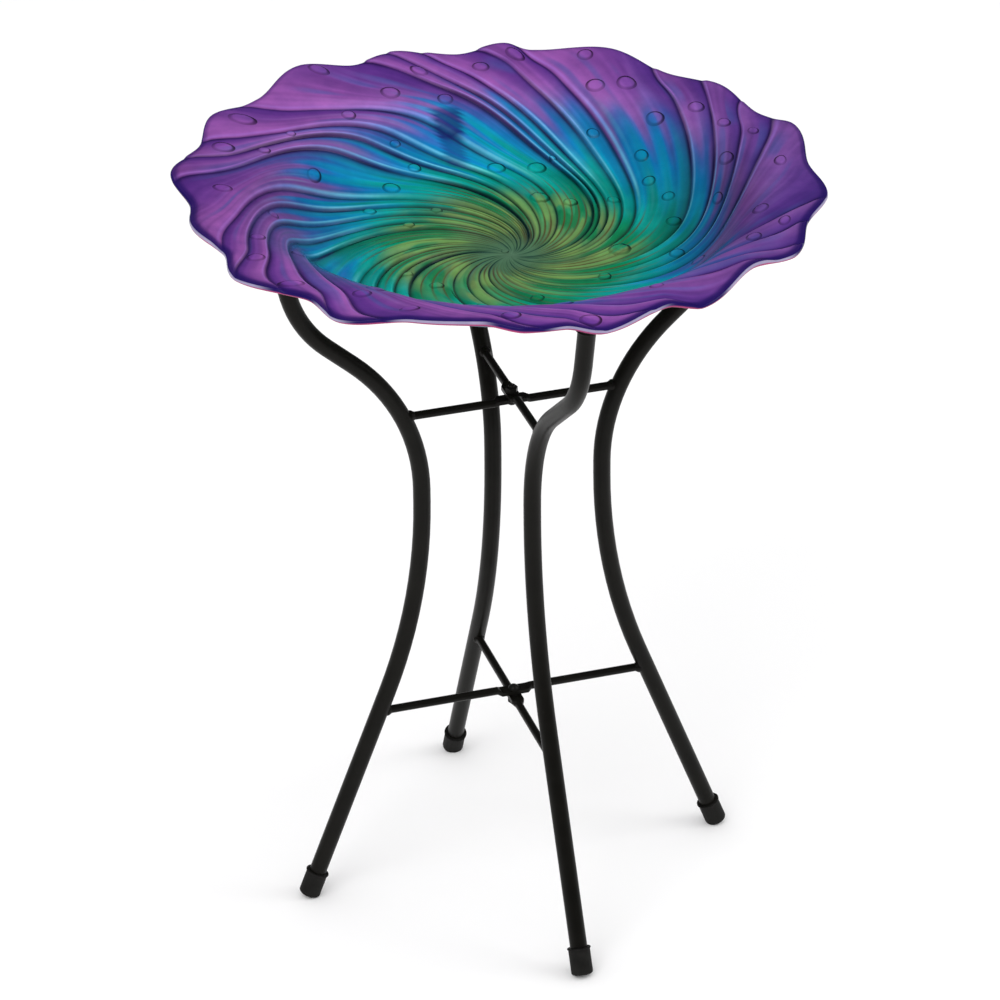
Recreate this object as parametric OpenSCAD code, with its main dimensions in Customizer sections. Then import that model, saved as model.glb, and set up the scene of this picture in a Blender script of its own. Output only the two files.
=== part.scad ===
// Folding garden bird bath: a round scalloped glass dish resting on a scissor stand.
// The stand is two steel tube frames that cross on two vertical pivot bolts.
// Z is up, the floor is z = 0 and the pivot axis is the Z axis.
// The outer frame lies in the XZ plane and the inner frame in the YZ plane.

/* [Tube legs] */
// Outside diameter of the leg tube
tube_d = 12.7; // [10:0.1:16]
// Wall of the leg tube
tube_wall = 1.2; // [0.8:0.1:2]
// Radius from the pivot axis to the outer frame's waist
outer_waist_r = 68; // [60:1:80]
// Lean of the outer frame's lower leg from vertical
outer_lean = 21.3; // [18:0.1:24]
// Radius of the long bend below the outer waist
outer_low_bend = 426; // [380:1:440]
// Radius of the bend above the outer waist
outer_high_bend = 145; // [130:1:150]
// Steepest flare of the outer frame from vertical
outer_flare = 48.5; // [46:0.5:52]
// Radius from the pivot axis to the inner frame's waist
inner_waist_r = 47; // [42:1:52]
// Lean of the inner frame's lower leg from vertical
inner_lean = 26; // [24:0.1:27]
// Radius of the long bend below the inner waist
inner_low_bend = 362; // [330:1:370]
// Radius of the bend above the inner waist
inner_high_bend = 118; // [110:1:126]
// Steepest flare of the inner frame from vertical
inner_flare = 52; // [48:0.5:54]
// Height where the long lower bend ends, at the narrowest part of the waist
waist_z = 320; // [310:1:330]
// Straight length of tube at the waist
waist_len = 10; // [6:1:14]
// Radius of the short bend below each leg's upper end
shoulder_bend = 85; // [60:1:90]
// Lean of each leg's upper end from vertical, away from the axis
tip_lean = 14; // [10:1:18]

/* [Cross bars] */
// Diameter of the cross bar rod
rod_d = 6; // [5:0.5:7]
// Height of the upper pivot
upper_pivot_z = 394; // [388:1:400]
// Height of the lower pivot
lower_pivot_z = 146; // [140:1:152]
// Height between the two rods that cross at a pivot
rod_gap = 7.2; // [7:0.1:8]
// Length of the flattened middle of a rod
flat_len = 20; // [16:1:24]
// Width of the flattened middle of a rod
flat_w = 9.5; // [9:0.1:11]
// Thickness of the flattened middle of a rod
flat_t = 3; // [2.5:0.1:3.2]
// Length over which the rod blends into its flat
flat_blend = 3; // [2:0.5:5]

/* [Pivot fasteners] */
// Diameter of the pivot bolt
bolt_d = 5; // [4:0.5:5]
// Diameter of the bolt's domed head
bolt_head_d = 8.6; // [8:0.1:9.4]
// Height of the bolt's domed head
bolt_head_h = 3.2; // [2.5:0.1:4]
// Nut width across its flats
nut_af = 8; // [8:0.1:9]
// Nut height
nut_h = 4; // [3:0.1:5]
// Diameter of the washer between the two flats
washer_d = 9; // [8.5:0.1:10]
// Clearance all round the bolt in its holes
bolt_clear = 0.08; // [0.05:0.01:0.1]

/* [Rubber ends] */
// Diameter of a rubber foot
foot_d = 16; // [15.4:0.1:18]
// Length of a rubber foot
foot_len = 20; // [18:1:26]
// Rubber below the end of the tube in a foot
foot_base = 4.5; // [3:0.1:6]
// Height of the middle of the sloping sole above the floor, before its low edge is flattened
foot_lift = 1; // [0.8:0.1:1.4]
// Diameter of a rubber tip that carries the dish
tip_d = 16; // [15:0.1:17]
// Length of a rubber tip
tip_len = 12; // [11:1:22]
// Rubber above the end of the tube in a tip
tip_base = 5; // [4.5:0.1:6]
// Edge rounding of the rubber tip
tip_round = 4; // [3:0.1:4.5]
// Edge rounding of the rubber foot
foot_round = 2; // [1:0.1:3]
// Radius from the pivot axis to the middle of a tip's end
tip_r = 172.5; // [168:0.5:178]

/* [Glass dish] */
// Mean radius of the scalloped rim
rim_r = 226.5; // [215:0.5:230]
// Height of the dish's inside face at its middle
dish_z = 507; // [500:1:515]
// Rise of the shallow dished part out to the rim
dish_rise = 24; // [20:1:30]
// Extra rise of the wall between the floor and the lip
wall_rise = 36; // [30:0.5:40]
// Radius at the middle of the wall
wall_r = 152; // [145:1:158]
// Distance that sets how gently the wall turns into floor and lip
wall_soft = 9.5; // [8:0.5:14]
// Thickness of the glass, measured vertically
glass_t = 5; // [4:0.1:6]
// Number of scallops round the rim
scallops = 16; // [12:1:20]
// How far a scallop stands out from the mean rim, each way
scallop_depth = 6; // [3:0.5:7]
// How far the rim's waves rise and dip, each way
rim_wave = 4; // [0:0.5:5]
// Turn of the scallops about Z
scallop_turn = 1.8; // [0:0.1:22.5]
// Gap between a rubber tip and the glass that rests on it
rest_gap = 0.5; // [0.4:0.1:0.8]

/* [Hidden] */
$fn = 64;
tube_r = tube_d / 2;
weld_gap = 0.05;      // between a rod's shaped end and the tube it is welded to
fit_gap = 0.05;       // between the tube and the rubber pushed over it
slice = 0.02;         // overlap that joins two solids of one part
sleeve_len = 0.6;     // sleeve over a joint between a straight and a bend of the leg
hair = 0.03;          // how much wider the sleeve is than the tube
play = 0.05;          // clearance along the bolt, and round it in its nut
weld_len = 2.4;       // weld bead at each end of a rod: length and extra radius
weld_side = 1.4;
bead = 0.7;           // radius of the bead round a rubber cap's mouth
nut_chamfer = 0.5;
face_gap = rod_gap - rod_d;            // between the two flats that a washer keeps apart
stack = face_gap / 2 + flat_t + play;  // from a pivot's mid height to the underside of the bolt's head
shank_end = stack + nut_h + 1.5;       // from a pivot's mid height to the end of the bolt
HEAD_UP = 0;
HEAD_DOWN = 180;
floor_rings = 2;      // rings of the dish's surface on its floor, wall and lip
wall_rings = 10;
lip_rings = 4;
wall_foot = 108;      // radii between which the wall rises
wall_top = 184;
wave_points = 6;      // points round each scallop
scallop_skew = 12;    // degrees by which a scallop leans round the rim
black = [0.09, 0.09, 0.09];
rubber = [0.05, 0.05, 0.05];

// Turns of the four legs about Z: outer right and left, inner rear and front
RIGHT = 0;
REAR = 90;
LEFT = 180;
FRONT = 270;

// A frame's leg: [waist radius, lower lean, lower bend, upper bend, flare]
OUTER = [outer_waist_r, outer_lean, outer_low_bend, outer_high_bend, outer_flare];
INNER = [inner_waist_r, inner_lean, inner_low_bend, inner_high_bend, inner_flare];

// ---- Glass section: height of the inside face, and its slope, at radius r ----
function wall_share(r) = 1 / (1 + exp(-(r - wall_r) / wall_soft));
function glass_z(r) = dish_z + dish_rise * pow(r / rim_r, 2) + wall_rise * (wall_share(r) - wall_share(0));
function glass_slope(r) = 2 * dish_rise * r / (rim_r * rim_r)
    + wall_rise / wall_soft * wall_share(r) * (1 - wall_share(r));

// The tip's rounded inner edge meets the glass: its edge circle lies this far in from the tip's middle
edge_in = tip_round * sin(tip_lean) + (tip_d / 2 - tip_round) * cos(tip_lean);
edge_down = tip_round * cos(tip_lean) - (tip_d / 2 - tip_round) * sin(tip_lean);
edge_r = tip_r - edge_in;
tip_z = glass_z(edge_r) - glass_t - (tip_round + rest_gap) * sqrt(1 + pow(glass_slope(edge_r), 2)) + edge_down;

// ---- Leg path in the plane of radius and height ----
function flare_start(f) = [f[0] + f[3] * (1 - cos(f[4])), waist_z + waist_len + f[3] * sin(f[4])];
function low_start(f) = [f[0] + f[2] * (1 - cos(f[1])), waist_z - f[2] * sin(f[1])];
function foot_r(f) = low_start(f)[0] + (low_start(f)[1] - foot_lift) * tan(f[1]);

// Height where the flare's line meets the line of the leaning upper end
function shoulder_z(f) = (flare_start(f)[0] - tip_r - flare_start(f)[1] * tan(f[4]) + tip_z * tan(tip_lean))
    / (tan(tip_lean) - tan(f[4]));
function shoulder_cut(f) = shoulder_bend * tan((f[4] - tip_lean) / 2);
function flare_len(f) = (shoulder_z(f) - flare_start(f)[1]) / cos(f[4]) - shoulder_cut(f);
function top_len(f) = (tip_z - shoulder_z(f)) / cos(tip_lean) - shoulder_cut(f) - tip_base;
function low_len(f) = (low_start(f)[1] - foot_lift) / cos(f[1]) - foot_base;

// Straight stretch of leg from [radius, height] p, leaning lean degrees outwards
module straight(p, lean, len, r) {
    translate([p[0], 0, p[1]])
        rotate([0, lean, 0])
            translate([0, 0, slice])
                cylinder(h = len - 2 * slice, r = r);
}

// Bend about the point [radius, height] c, from one direction angle to another
module bend(c, bend_r, from, to, r) {
    translate([c[0], 0, c[1]])
        rotate([90, 0, 0])
            rotate([0, 0, from])
                rotate_extrude(angle = to - from)
                    translate([bend_r, 0])
                        circle(r);
}

// Short sleeve, a hair wider than the tube, that joins two stretches at [radius, height] p
module sleeve(p, lean, r) {
    translate([p[0], 0, p[1]])
        rotate([0, lean, 0])
            cylinder(h = sleeve_len, r = r + hair, center = true);
}

// Solid of radius r along one leg of frame f in the XZ plane, run on by over at both ends
module leg_shape(f, r, over) {
    low = low_start(f);
    flare = flare_start(f);
    waist_top = waist_z + waist_len;
    foot_run = low_len(f) + over;
    shoulder = [flare[0] + flare_len(f) * sin(f[4]), flare[1] + flare_len(f) * cos(f[4])];
    shoulder_c = [shoulder[0] - shoulder_bend * cos(f[4]), shoulder[1] + shoulder_bend * sin(f[4])];
    top = [shoulder_c[0] + shoulder_bend * cos(tip_lean), shoulder_c[1] - shoulder_bend * sin(tip_lean)];
    straight([low[0] + foot_run * sin(f[1]), low[1] - foot_run * cos(f[1])], -f[1], foot_run, r);
    sleeve(low, -f[1], r);
    bend([f[0] + f[2], waist_z], f[2], 180, 180 + f[1], r);
    sleeve([f[0], waist_z], 0, r);
    straight([f[0], waist_z], 0, waist_len, r);
    sleeve([f[0], waist_top], 0, r);
    bend([f[0] + f[3], waist_top], f[3], 180 - f[4], 180, r);
    sleeve(flare, f[4], r);
    straight(flare, f[4], flare_len(f), r);
    sleeve(shoulder, f[4], r);
    bend(shoulder_c, shoulder_bend, -f[4], -tip_lean, r);
    sleeve(top, tip_lean, r);
    straight(top, tip_lean, top_len(f) + over, r);
}

module leg(f, turn) {
    color(black)
        rotate([0, 0, turn])
            difference() {
                leg_shape(f, tube_r, 0);
                leg_shape(f, tube_r - tube_wall, tube_wall);
            }
}

// ---- Where a frame's leg is at height z, and how far it leans outwards there ----
function on_high_bend(f, z) = z > waist_z + waist_len;
function leg_lean(f, z) = on_high_bend(f, z)
    ? asin((z - waist_z - waist_len) / f[3])
    : -f[1];
function leg_r(f, z) = on_high_bend(f, z)
    ? f[0] + f[3] * (1 - cos(leg_lean(f, z)))
    : low_start(f)[0] + (low_start(f)[1] - z) * tan(f[1]);

// Half of a cross bar, from its flat to the leg it is welded to, with its weld bead
module half_bar(reach, face) {
    rod_start = flat_len / 2 + flat_blend;
    rotate([0, 90, 0]) {
        translate([0, 0, rod_start])
            cylinder(h = reach - rod_start, r = rod_d / 2);
        translate([0, 0, reach - tube_r - weld_len])
            cylinder(h = weld_len, r1 = rod_d / 2, r2 = rod_d / 2 + weld_side);
        translate([0, 0, reach - tube_r])
            cylinder(h = tube_r, r = rod_d / 2 + weld_side);
    }
    hull() {
        translate([rod_start - slice, 0, 0])
            rotate([0, 90, 0])
                cylinder(h = 2 * slice, r = rod_d / 2, $fn = 32);
        translate([flat_len / 2, 0, face * (rod_d - flat_t) / 2])
            cube([2 * slice, flat_w, flat_t], center = true);
    }
}

// Cross bar of frame f at height z. Its flat is flush with the rod's face side: 1 up, -1 down.
module cross_bar(f, turn, z, face) {
    reach = leg_r(f, z);
    color(black)
        rotate([0, 0, turn])
            translate([0, 0, z])
                difference() {
                    union() {
                        for (half = [0, 180])
                            rotate([0, 0, half])
                                half_bar(reach, face);
                        translate([0, 0, face * (rod_d - flat_t) / 2])
                            cube([flat_len + 4 * slice, flat_w, flat_t], center = true);
                    }
                    cylinder(h = 2 * rod_d, r = bolt_d / 2 + bolt_clear, center = true);
                    for (half = [0, 180])
                        rotate([0, 0, half])
                            translate([reach, 0, 0])
                                rotate([0, leg_lean(f, z), 0])
                                    cylinder(h = 4 * tube_d, r = tube_r + weld_gap, center = true);
                }
}

// ---- Pivot fasteners, each drawn about its pivot's mid height, head up ----
module pivot_bolt(z, flip) {
    dome_r = (pow(bolt_head_d / 2, 2) + pow(bolt_head_h, 2)) / (2 * bolt_head_h);
    color(black)
        translate([0, 0, z])
            rotate([flip, 0, 0]) {
                translate([0, 0, -shank_end])
                    cylinder(h = shank_end + stack + slice, r = bolt_d / 2);
                translate([0, 0, stack])
                    rotate_extrude()
                        intersection() {
                            square([bolt_head_d / 2, bolt_head_h]);
                            translate([0, bolt_head_h - dome_r])
                                circle(dome_r);
                        }
            }
}

module pivot_washer(z) {
    color(black)
        translate([0, 0, z])
            difference() {
                cylinder(h = face_gap - 2 * play, r = washer_d / 2, center = true);
                cylinder(h = 2 * face_gap, r = bolt_d / 2 + bolt_clear, center = true);
            }
}

module pivot_nut(z, flip) {
    corner_r = nut_af / 2 / cos(30);
    color(black)
        translate([0, 0, z])
            rotate([flip, 0, 0])
                translate([0, 0, -stack - nut_h])
                    difference() {
                        intersection() {
                            cylinder(h = nut_h, r = corner_r, $fn = 6);
                            rotate_extrude()
                                polygon([[0, 0], [nut_af / 2, 0], [corner_r, nut_chamfer],
                                         [corner_r, nut_h - nut_chamfer], [nut_af / 2, nut_h], [0, nut_h]]);
                        }
                        translate([0, 0, -nut_h])
                            cylinder(h = 3 * nut_h, r = bolt_d / 2 + play);
                    }
}

// ---- Rubber cap over a tube end: closed end at z = 0, open end up, bead round its mouth ----
module rubber_cap(d, len, base, edge) {
    difference() {
        rotate_extrude() {
            square([d / 2 - edge, len - bead]);
            translate([0, edge])
                square([d / 2, len - bead - edge]);
            translate([d / 2 - edge, edge])
                circle(edge);
            translate([0, len - 2 * bead])
                square([d / 2, 2 * bead]);
            translate([d / 2, len - bead])
                circle(bead);
        }
        translate([0, 0, base])
            cylinder(h = len, r = tube_r + fit_gap);
    }
}

module rubber_foot(f, turn) {
    color(rubber)
        rotate([0, 0, turn])
            difference() {
                translate([foot_r(f), 0, foot_lift])
                    rotate([0, -f[1], 0])
                        rubber_cap(foot_d, foot_len, foot_base, foot_round);
                translate([foot_r(f), 0, -foot_d])
                    cube(2 * foot_d, center = true);
            }
}

module rubber_tip(turn) {
    color(rubber)
        rotate([0, 0, turn])
            translate([tip_r, 0, tip_z])
                rotate([0, 180 + tip_lean, 0])
                    rubber_cap(tip_d, tip_len, tip_base, tip_round);
}

// ---- The glass dish: rings of points from the inside middle, over the rim, to the underside ----
// Ring j's radius: wide steps over the floor, fine steps up the wall, medium steps across the lip
function ring_r(j) = j <= floor_rings
    ? j * wall_foot / floor_rings
    : j <= floor_rings + wall_rings
        ? wall_foot + (j - floor_rings) * (wall_top - wall_foot) / wall_rings
        : wall_top + (j - floor_rings - wall_rings) * (rim_r - wall_top) / lip_rings;

// Share of the rim's waves at radius r: none at the wall's top, all of it at the rim
function lip_share(r) = r <= wall_top ? 0 : pow((r - wall_top) / (rim_r - wall_top), 2);

// Scallop wave at angle a, which climbs slowly and drops quickly
function scallop(a) = let (t = scallops * (a - scallop_turn)) cos(t - scallop_skew * cos(t));

// Point of ring j at angle a, down below the inside face and out past it
function dish_point(j, a, down, out) =
    let (r = ring_r(j), share = lip_share(r))
    let (reach = r + share * scallop_depth * scallop(a) + out)
    [reach * cos(a),
     reach * sin(a),
     glass_z(r) + share * rim_wave * scallop(a) - down];

module dish_shape() {
    last = floor_rings + wall_rings + lip_rings;
    n = scallops * wave_points;
    inside = [for (j = [1:last]) for (i = [0:n - 1]) dish_point(j, i * 360 / n, 0, 0)];
    edge = [for (i = [0:n - 1]) dish_point(last, i * 360 / n, glass_t / 2, glass_t / 4)];
    under = [for (j = [last:-1:1]) for (i = [0:n - 1]) dish_point(j, i * 360 / n, glass_t, 0)];
    rows = 2 * last + 1;
    middle = [[0, 0, glass_z(0)], [0, 0, glass_z(0) - glass_t]];
    top = rows * n;
    quads = [for (k = [0:rows - 2]) for (i = [0:n - 1])
        let (m = (i + 1) % n, p = k * n, q = p + n)
        each [[p + i, q + i, q + m], [p + i, q + m, p + m]]];
    fans = [for (i = [0:n - 1])
        let (m = (i + 1) % n, p = (rows - 1) * n)
        each [[top, i, m], [top + 1, p + m, p + i]]];
    polyhedron(points = concat(inside, edge, under, middle), faces = concat(quads, fans));
}

module glass_bowl() {
    color([0.3, 0.3, 0.75])
        dish_shape();
}

// ---- Nodes ----
module outer_leg_left() leg(OUTER, LEFT);
module outer_leg_right() leg(OUTER, RIGHT);
module inner_leg_front() leg(INNER, FRONT);
module inner_leg_rear() leg(INNER, REAR);
module outer_upper_bar() cross_bar(OUTER, RIGHT, upper_pivot_z - rod_gap / 2, 1);
module outer_lower_bar() cross_bar(OUTER, RIGHT, lower_pivot_z + rod_gap / 2, -1);
module inner_upper_bar() cross_bar(INNER, REAR, upper_pivot_z + rod_gap / 2, -1);
module inner_lower_bar() cross_bar(INNER, REAR, lower_pivot_z - rod_gap / 2, 1);
module upper_pivot_bolt() pivot_bolt(upper_pivot_z, HEAD_DOWN);
module upper_pivot_washer() pivot_washer(upper_pivot_z);
module upper_pivot_nut() pivot_nut(upper_pivot_z, HEAD_DOWN);
module lower_pivot_bolt() pivot_bolt(lower_pivot_z, HEAD_UP);
module lower_pivot_washer() pivot_washer(lower_pivot_z);
module lower_pivot_nut() pivot_nut(lower_pivot_z, HEAD_UP);
module rubber_foot_left() rubber_foot(OUTER, LEFT);
module rubber_foot_right() rubber_foot(OUTER, RIGHT);
module rubber_foot_front() rubber_foot(INNER, FRONT);
module rubber_foot_rear() rubber_foot(INNER, REAR);
module rubber_tip_left() rubber_tip(LEFT);
module rubber_tip_right() rubber_tip(RIGHT);
module rubber_tip_front() rubber_tip(FRONT);
module rubber_tip_rear() rubber_tip(REAR);

glass_bowl();
outer_leg_left();
outer_leg_right();
inner_leg_front();
inner_leg_rear();
outer_upper_bar();
outer_lower_bar();
inner_upper_bar();
inner_lower_bar();
upper_pivot_bolt();
upper_pivot_washer();
upper_pivot_nut();
lower_pivot_bolt();
lower_pivot_washer();
lower_pivot_nut();
rubber_foot_left();
rubber_foot_right();
rubber_foot_front();
rubber_foot_rear();
rubber_tip_left();
rubber_tip_right();
rubber_tip_front();
rubber_tip_rear();
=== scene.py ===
import math

import bpy
import numpy as np
from mathutils import Matrix, Vector


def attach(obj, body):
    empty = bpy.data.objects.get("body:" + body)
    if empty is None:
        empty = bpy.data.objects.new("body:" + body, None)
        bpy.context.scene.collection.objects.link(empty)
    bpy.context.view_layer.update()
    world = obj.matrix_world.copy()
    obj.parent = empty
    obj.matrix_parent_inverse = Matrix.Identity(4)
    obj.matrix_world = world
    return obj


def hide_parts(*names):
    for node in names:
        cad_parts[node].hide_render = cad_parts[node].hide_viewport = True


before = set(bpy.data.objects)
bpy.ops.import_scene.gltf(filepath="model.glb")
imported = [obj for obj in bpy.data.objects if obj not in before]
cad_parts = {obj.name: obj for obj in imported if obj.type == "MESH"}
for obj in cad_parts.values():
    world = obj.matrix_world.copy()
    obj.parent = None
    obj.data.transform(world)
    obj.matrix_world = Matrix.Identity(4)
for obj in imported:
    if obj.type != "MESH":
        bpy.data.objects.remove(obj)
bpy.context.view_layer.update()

# A glass bird bath on a folding stand. The stand keeps its CAD solids and gets its materials here.
# The dish is built here: its swirl of ribs, its paint and its raised bubbles.
# The dish's lengths are in millimetres. Materials, lights and the camera are in metres.
MM = 0.001

# ---------------------------------------------------------------- material helpers

# Noise patterns of the materials: scale per metre, detail and roughness
PEEL, PATCH, SCUFF = (1400.0, 2.0, 0.5), (38.0, 4.0, 0.6), (210.0, 6.0, 0.7)
MOULD, BLOOM = (2600.0, 3.0, 0.6), (120.0, 5.0, 0.65)
GLASS_CLOUD, GLASS_SPECK, GLASS_RIPPLE = (55.0, 5.0, 0.6), (620.0, 3.0, 0.6), (130.0, 3.0, 0.5)
SKIN_DEPTH, RIPPLE_DEPTH = 0.0002, 0.001          # distance of the bumps
METAL_SHINE, RUBBER_SHINE, GLASS_SHINE = 0.1, 0.12, 0.16
DUST, DUST_SHARE = (0.075, 0.07, 0.063), 0.12
RUBBER_DARK, RUBBER_BLOOM = (0.007, 0.0068, 0.0062), (0.021, 0.020, 0.0185)
GLASS_COOL, GLASS_WARM = (0.88, 0.9, 0.93), (1.16, 1.12, 1.1)     # the paint's colour is multiplied by these
GLASS_THROUGH, GLASS_THROUGH_SHARE = (1.4, 1.4, 1.4), 0.2


class Nodes:
    """Short calls for building a node material."""

    def __init__(self, name):
        self.mat = bpy.data.materials.new(name)
        self.mat.use_nodes = True
        self.tree = self.mat.node_tree
        self.tree.nodes.clear()
        self.out = self.add("ShaderNodeOutputMaterial")

    def add(self, kind, **inputs):
        """New node. Each keyword sets the input of that name, or else the node's own setting."""
        node = self.tree.nodes.new(kind)
        for key, value in inputs.items():
            name = key.replace("_", " ")
            if name in node.inputs:
                self.set(node.inputs[name], value)
            else:
                setattr(node, key, value)
        return node

    def set(self, socket, value):
        """Link an output to the input, or give the input a plain value."""
        if isinstance(value, bpy.types.NodeSocket):
            self.tree.links.new(value, socket)
            return
        if socket.type == "RGBA" and len(value) == 3:
            value = (*value, 1.0)
        socket.default_value = value

    def math(self, op, a, b):
        node = self.tree.nodes.new("ShaderNodeMath")
        node.operation = op
        self.set(node.inputs[0], a)
        self.set(node.inputs[1], b)
        return node.outputs[0]

    def noise(self, coords, scale, detail, rough):
        node = self.add("ShaderNodeTexNoise", Vector=coords, Scale=scale, Detail=detail, Roughness=rough)
        return node.outputs["Fac"]

    def span(self, fac, low, high, lo=0.0, hi=1.0):
        """fac between lo and hi becomes low to high."""
        node = self.add("ShaderNodeMapRange", Value=fac)
        node.inputs["From Min"].default_value = lo
        node.inputs["From Max"].default_value = hi
        node.inputs["To Min"].default_value = low
        node.inputs["To Max"].default_value = high
        return node.outputs[0]

    def mix(self, fac, a, b, blend="MIX"):
        node = self.tree.nodes.new("ShaderNodeMix")
        node.data_type = "RGBA"
        node.blend_type = blend
        self.set(node.inputs[0], fac)
        self.set(node.inputs[6], a)
        self.set(node.inputs[7], b)
        return node.outputs[2]

    def bump(self, height, strength, distance):
        node = self.add("ShaderNodeBump", Height=height, Strength=strength, Distance=distance)
        return node.outputs[0]

    def principled(self, colour, roughness, normal, shine):
        return self.add("ShaderNodeBsdfPrincipled", Base_Color=colour, Roughness=roughness,
                        Normal=normal, Specular_IOR_Level=shine)

    def finish(self, shader):
        self.tree.links.new(shader.outputs[0], self.out.inputs["Surface"])
        return self.mat

    def position(self):
        return self.add("ShaderNodeTexCoord").outputs["Object"]


def powder_coat(name, base, rough, grain):
    """Satin powder coat: fine orange-peel skin, darker and lighter patches, and faint dusty rubbing."""
    n = Nodes(name)
    pos = n.position()
    patch = n.noise(pos, *PATCH)
    scuff = n.span(n.noise(pos, *SCUFF), 0.0, 1.0, 0.62, 0.78)
    dark, light = [v * 0.75 for v in base], [v * 1.35 for v in base]
    colour = n.mix(n.span(patch, 0.0, 1.0, 0.3, 0.75), dark, light)
    colour = n.mix(n.math("MULTIPLY", scuff, DUST_SHARE), colour, DUST)
    roughness = n.math("ADD", n.span(patch, rough - 0.05, rough + 0.06), n.math("MULTIPLY", scuff, 0.1))
    normal = n.bump(n.noise(pos, *PEEL), grain, SKIN_DEPTH)
    return n.finish(n.principled(colour, roughness, normal, METAL_SHINE))


def rubber_material(name):
    """Matt black rubber with a faint mould texture and dusty bloom."""
    n = Nodes(name)
    pos = n.position()
    bloom = n.noise(pos, *BLOOM)
    colour = n.mix(n.span(bloom, 0.0, 0.55, 0.35, 0.8), RUBBER_DARK, RUBBER_BLOOM)
    normal = n.bump(n.noise(pos, *MOULD), 0.35, SKIN_DEPTH)
    return n.finish(n.principled(colour, n.span(bloom, 0.5, 0.74), normal, RUBBER_SHINE))


def glass_material(name):
    """Painted slumped glass: gloss face, translucent paint from the paint attribute, slight ripples."""
    n = Nodes(name)
    pos = n.position()
    paint = n.add("ShaderNodeVertexColor", layer_name="paint").outputs["Color"]
    cloud = n.noise(pos, *GLASS_CLOUD)
    cool = n.mix(1.0, paint, GLASS_COOL, "MULTIPLY")
    warm = n.mix(1.0, paint, GLASS_WARM, "MULTIPLY")
    colour = n.mix(n.span(cloud, 0.0, 1.0, 0.35, 0.7), cool, warm)
    waves = n.math("MULTIPLY", n.noise(pos, *GLASS_RIPPLE), 0.7)
    specks = n.math("MULTIPLY", n.noise(pos, *GLASS_SPECK), 0.12)
    normal = n.bump(n.math("ADD", waves, specks), 0.3, RIPPLE_DEPTH)
    face = n.principled(colour, n.span(cloud, 0.14, 0.24), normal, GLASS_SHINE)
    through = n.add("ShaderNodeBsdfTranslucent", Color=n.mix(1.0, colour, GLASS_THROUGH, "MULTIPLY"))
    both = n.add("ShaderNodeMixShader")
    both.inputs[0].default_value = GLASS_THROUGH_SHARE
    n.tree.links.new(face.outputs[0], both.inputs[1])
    n.tree.links.new(through.outputs[0], both.inputs[2])
    return n.finish(both)


coat = powder_coat("black_powder_coat", (0.0058, 0.0054, 0.0044), 0.34, 0.2)
bolt_black = powder_coat("black_fastener", (0.009, 0.0086, 0.0078), 0.28, 0.1)
rubber = rubber_material("black_rubber")

for name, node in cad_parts.items():
    if name == "glass_bowl":
        continue
    kind = rubber if name.startswith("rubber") else bolt_black if "pivot" in name else coat
    for slot in node.material_slots:
        slot.material = kind

# ---------------------------------------------------------------- the dish's shape

# Angles are the viewer's, in degrees: 0 is to the right and 90 is away. A rib is named by its rim
# angle, which is the angle where it meets the rim.
CAMERA_TURN = 17.2                     # from the stand's X axis to the viewer's right

# The dish's section, as in the solid dish
DISH_Z, DISH_RISE = 507.0, 24.0        # inside face at the middle, and the rise of its shallow part
SECTION_R = 226.5                      # rim radius of that section
WALL_RISE, WALL_R, WALL_SOFT = 36.0, 152.0, 9.5   # the wall's extra rise, its middle and its softness

# The glass
RIM_R = 222.5                          # rim radius before its waves
GLASS_T = 5.0
FLOOR_THINNER, FLOOR_EDGE = 2.6, (132, 150)       # thinner glass in the floor, and where that ends
FACE_DOWN = 1.2                        # the grooves lie this far below the solid's inside face
ROLL_DOWN, ROLL_WIDTH = 1.1, 6.0       # the inside face rolls down at the rim
EDGE_BULGE = 1.5                       # the rounded edge stands out this far
UNDER_RIBS, UNDER_RIBS_R = 0.45, (188, 214)       # the lip's underside shows this much of the ribs

# The rim's place and waves
LIP_R, LIP_POWER = 180.0, 1.2          # they begin here, and how slowly
RIM_SHIFT, RIM_TILT = 8.0, 1.9         # the rim is off centre to the left and higher at the back
# Each crest or dip of the rim: angle, outwards, upwards
RIM_WAVE = ((7, -5.5, -1.5), (21, 3, 0.5), (32, -6.5, -3), (44, 0, -0.2), (55, -5, -2.6), (69, 5, 3),
            (83, -4, -0.6), (88.5, 2.5, 2.6), (98, -5, -2.2), (110.5, 3.5, 1.8), (118, -2, 0),
            (128, 12.5, 3.4), (142, -3, -0.8), (153, 6, 2.6), (164, -3.5, -1.2), (176.5, 5, 2),
            (188, -9, -3), (198, -3.5, 0), (209.5, -9, 0), (220, 6, 1), (234, -6, 1), (243, 7, -1),
            (255, -4, 2.2), (267, -6, 2.2), (274.5, 3, 1), (281, -2, -1), (287, 6, -3.5), (300.5, -5, -0.4),
            (306, 5.5, -2.7), (321, -6, 1.2), (331, 6, -2), (343, -3, -1), (353, 4.5, 0.5))

# The swirl: degrees that a rib turns as it runs inwards
SWIRL_R = 226.0                        # a rib is at its rim angle here
SWIRL_LIP, SWIRL_FLOOR = 0.22, 0.42    # turn per mm everywhere, and more per mm further in
SWIRL_BEND_R, SWIRL_SOFT = 182.0, 8.0  # where that further turn begins, and how softly
SWIRL_EYE, SWIRL_EYE_R = 20.0, 25.0    # extra turn in the middle
FRONT_LEAN, FRONT_LEAN_R = 16.0, 45.0  # extra turn on the front of the lip
FRONT_BEND = 16.0                      # and there the ribs bend this much further out
FRONT_FROM, FRONT_TO = (165, 225), (290, 360)     # rim angles where the front begins and ends
SWEEPS = ((165, 13.0, 32.0), (99, -6.0, 26.0))    # ribs that sweep round: rim angle, degrees, spread
SWEEP_IN, SWEEP_OUT = (40, 125), (155, 205)       # radii where the sweep fades in and out

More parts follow.
